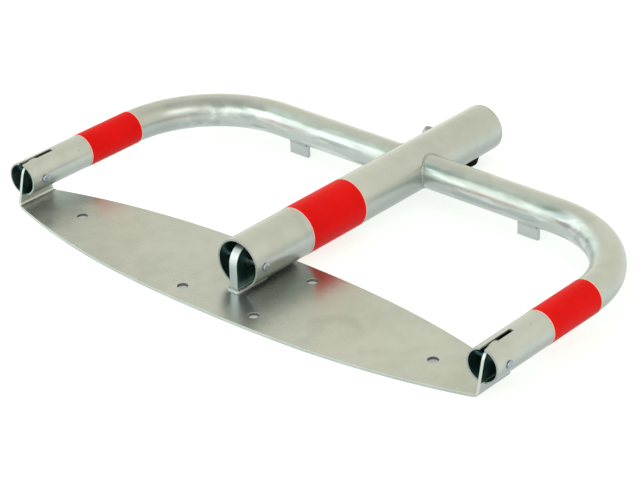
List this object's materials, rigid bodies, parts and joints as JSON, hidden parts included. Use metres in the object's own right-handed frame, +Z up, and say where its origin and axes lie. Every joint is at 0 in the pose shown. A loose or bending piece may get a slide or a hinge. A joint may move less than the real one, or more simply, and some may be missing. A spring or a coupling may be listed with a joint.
{
  "type": "folding parking lock",
  "caption": "Folding parking barrier: a bent-tube hoop with a middle locking tube that lies folded on a bolted-down steel base plate.",
  "frame": {"origin": "middle of the base plate's underside, where it meets the ground", "axes": "+X along the pivot axis to the right leg, +Y from the pivot towards the rail of the folded hoop, +Z up"},
  "size_m": [0.7557, 0.52, 0.0668],
  "materials": {
    "galvanised_steel": "hot-dip galvanised, dull spangle with brighter streaks",
    "zinc_plated_steel": "bright zinc-plated",
    "red_film": "vivid red adhesive reflective film",
    "black_rubber": "matte black",
    "lock_brass": "satin brass",
    "spring_steel": "oiled spring wire",
    "bush_bronze": "plain sintered bronze"
  },
  "bodies": {
    "base": {"base_plate": "galvanised_steel", "centre_lug": "galvanised_steel", "lug_weld": "galvanised_steel", "lug_bush": "bush_bronze"},
    "bar": {"centre_tube": "galvanised_steel", "end_disc": "galvanised_steel", "left_hoop_tube": "galvanised_steel", "right_hoop_tube": "galvanised_steel", "left_hoop_weld": "galvanised_steel", "right_hoop_weld": "galvanised_steel", "left_foot": "galvanised_steel", "right_foot": "galvanised_steel", "left_foot_weld": "galvanised_steel", "right_foot_weld": "galvanised_steel", "left_band": "red_film", "centre_band": "red_film", "right_band": "red_film", "left_pivot_pin": "zinc_plated_steel", "centre_pivot_pin": "zinc_plated_steel", "right_pivot_pin": "zinc_plated_steel", "left_pin_washer": "zinc_plated_steel", "centre_pin_washer": "zinc_plated_steel", "right_pin_washer": "zinc_plated_steel", "front_rod_guide": "galvanised_steel", "rear_rod_guide": "galvanised_steel", "lock_housing": "lock_brass", "rod_spring": "spring_steel"},
    "rod": {"locking_rod": "zinc_plated_steel", "rod_collar": "zinc_plated_steel", "collar_pin": "zinc_plated_steel", "pull_knob": "zinc_plated_steel", "rod_yoke": "zinc_plated_steel", "yoke_screw": "zinc_plated_steel"},
    "core": {"lock_core": "lock_brass", "lock_cam": "zinc_plated_steel", "cam_screw": "zinc_plated_steel"},
    "cap": {"lock_cap": "black_rubber"}
  },
  "joints": [
    {"name": "bar_fold", "type": "hinge", "parent": "base", "child": "bar", "pos_m": [0, 0, 0.036], "axis": [1, 0, 0], "range_deg": [0, 90]},
    {"name": "rod_slide", "type": "slide", "parent": "bar", "child": "rod", "axis": [0, -1, 0], "range_m": [0, 0.008], "deforming": ["rod_spring"]},
    {"name": "lock_turn", "type": "hinge", "parent": "bar", "child": "core", "pos_m": [0, 0.405, 0.0032], "axis": [0, 0, -1], "range_deg": [0, 90]},
    {"name": "cap_pull", "type": "slide", "parent": "bar", "child": "cap", "axis": [0, 0, -1], "range_m": [0, 0.015]}
  ],
  "couplings": [
    {"joint": "lock_turn", "follows": "rod_slide", "rad_per_m": 196.3}
  ]
}
